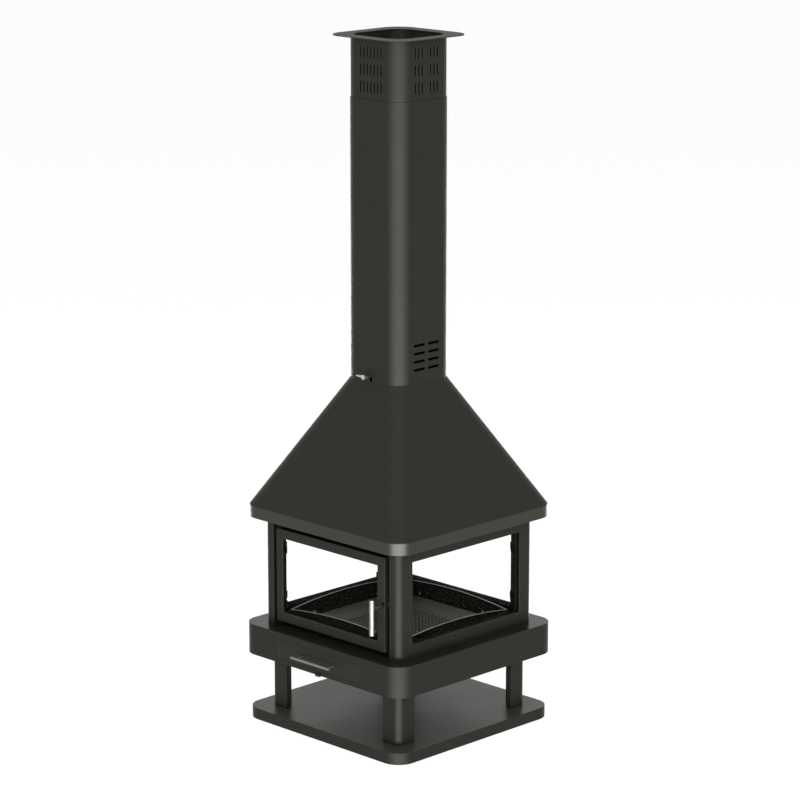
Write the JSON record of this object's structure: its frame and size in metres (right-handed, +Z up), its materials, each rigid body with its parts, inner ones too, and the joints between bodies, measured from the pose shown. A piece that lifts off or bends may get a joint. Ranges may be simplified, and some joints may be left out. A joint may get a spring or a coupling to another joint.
{
  "type": "central fireplace",
  "caption": "Free-standing wood fireplace glazed on every side, on a log store with legs, under a tapered hood and a telescopic square flue casing.",
  "frame": {"origin": "centre of the base plate's underside, on the floor", "axes": "+Z up along the flue; the door faces -Y, and windows face +X, +Y and -X"},
  "size_m": [0.814, 0.858, 2.504],
  "materials": {
    "powder_coat": "matt black powder coat",
    "band_coat": "satin black powder coat",
    "stove_paint": "matt black heat-resistant paint",
    "cast_iron": "painted casting",
    "bright_steel": "satin stainless steel",
    "plain_steel": "plain and blackened steel",
    "ceramic_glass": "clear ceramic glass",
    "rope": "woven glass-fibre rope"
  },
  "bodies": {
    "frame": {"base_plate": "powder_coat", "base_edge": "powder_coat", "leg_front_left": "powder_coat", "leg_front_right": "powder_coat", "leg_back_left": "powder_coat", "leg_back_right": "powder_coat", "leg_bolts": "plain_steel", "hearth_box": "powder_coat", "hearth_front": "powder_coat", "hearth_tray": "cast_iron", "grate": "cast_iron", "retainer_front": "cast_iron", "retainer_back": "cast_iron", "retainer_left": "cast_iron", "retainer_right": "cast_iron", "retainer_brackets": "stove_paint", "retainer_bolts": "plain_steel", "firebox_shell": "powder_coat", "door_seat": "stove_paint", "seat_bars": "stove_paint", "window_frames": "stove_paint", "glass_right": "ceramic_glass", "glass_back": "ceramic_glass", "glass_left": "ceramic_glass", "glass_seals": "rope", "glass_bead_right": "stove_paint", "glass_bead_back": "stove_paint", "glass_bead_left": "stove_paint", "glass_clips": "stove_paint", "clip_screws": "plain_steel", "lower_pivot": "plain_steel", "upper_pivot": "plain_steel", "drawer_runners": "plain_steel", "air_slide_guides": "powder_coat", "hood_skirt": "band_coat", "hood_slope": "powder_coat", "hood_soffit": "stove_paint", "smoke_baffle": "stove_paint", "baffle_supports": "stove_paint", "flue_collar": "stove_paint", "lower_casing": "powder_coat"},
    "door": {"door_frame": "powder_coat", "door_glass": "ceramic_glass", "door_bead": "stove_paint", "door_seal": "rope", "spindle_bush": "plain_steel"},
    "latch": {"latch_spindle": "bright_steel", "handle_grip": "bright_steel", "latch_cam": "plain_steel"},
    "drawer": {"ash_drawer": "powder_coat", "ash_pan": "powder_coat", "drawer_handle": "plain_steel"},
    "air_slide": {"air_slide": "plain_steel"},
    "damper": {"damper_shaft": "plain_steel", "damper_plate": "stove_paint", "damper_screws": "plain_steel", "damper_knob": "bright_steel"},
    "upper_casing": {"upper_casing": "powder_coat", "ceiling_flange": "powder_coat"}
  },
  "joints": [
    {"name": "door_hinge", "type": "hinge", "parent": "frame", "child": "door", "pos_m": [-0.273, -0.341, 0.5545], "axis": [0, 0, -1], "range_deg": [0, 110]},
    {"name": "latch_turn", "type": "hinge", "parent": "door", "child": "latch", "pos_m": [0.268, -0.346, 0.5545], "axis": [0, 1, 0], "range_deg": [0, 90]},
    {"name": "drawer_slide", "type": "slide", "parent": "frame", "child": "drawer", "axis": [0, -1, 0], "range_m": [0, 0.35]},
    {"name": "air_slide_pull", "type": "slide", "parent": "frame", "child": "air_slide", "axis": [0, -1, 0], "range_m": [0, 0.06]},
    {"name": "damper_turn", "type": "hinge", "parent": "frame", "child": "damper", "pos_m": [0, 0, 1.302], "axis": [0, 1, 0], "range_deg": [0, 90]},
    {"name": "casing_slide", "type": "slide", "parent": "frame", "child": "upper_casing", "axis": [0, 0, 1], "range_m": [-0.19, 0.12]}
  ]
}
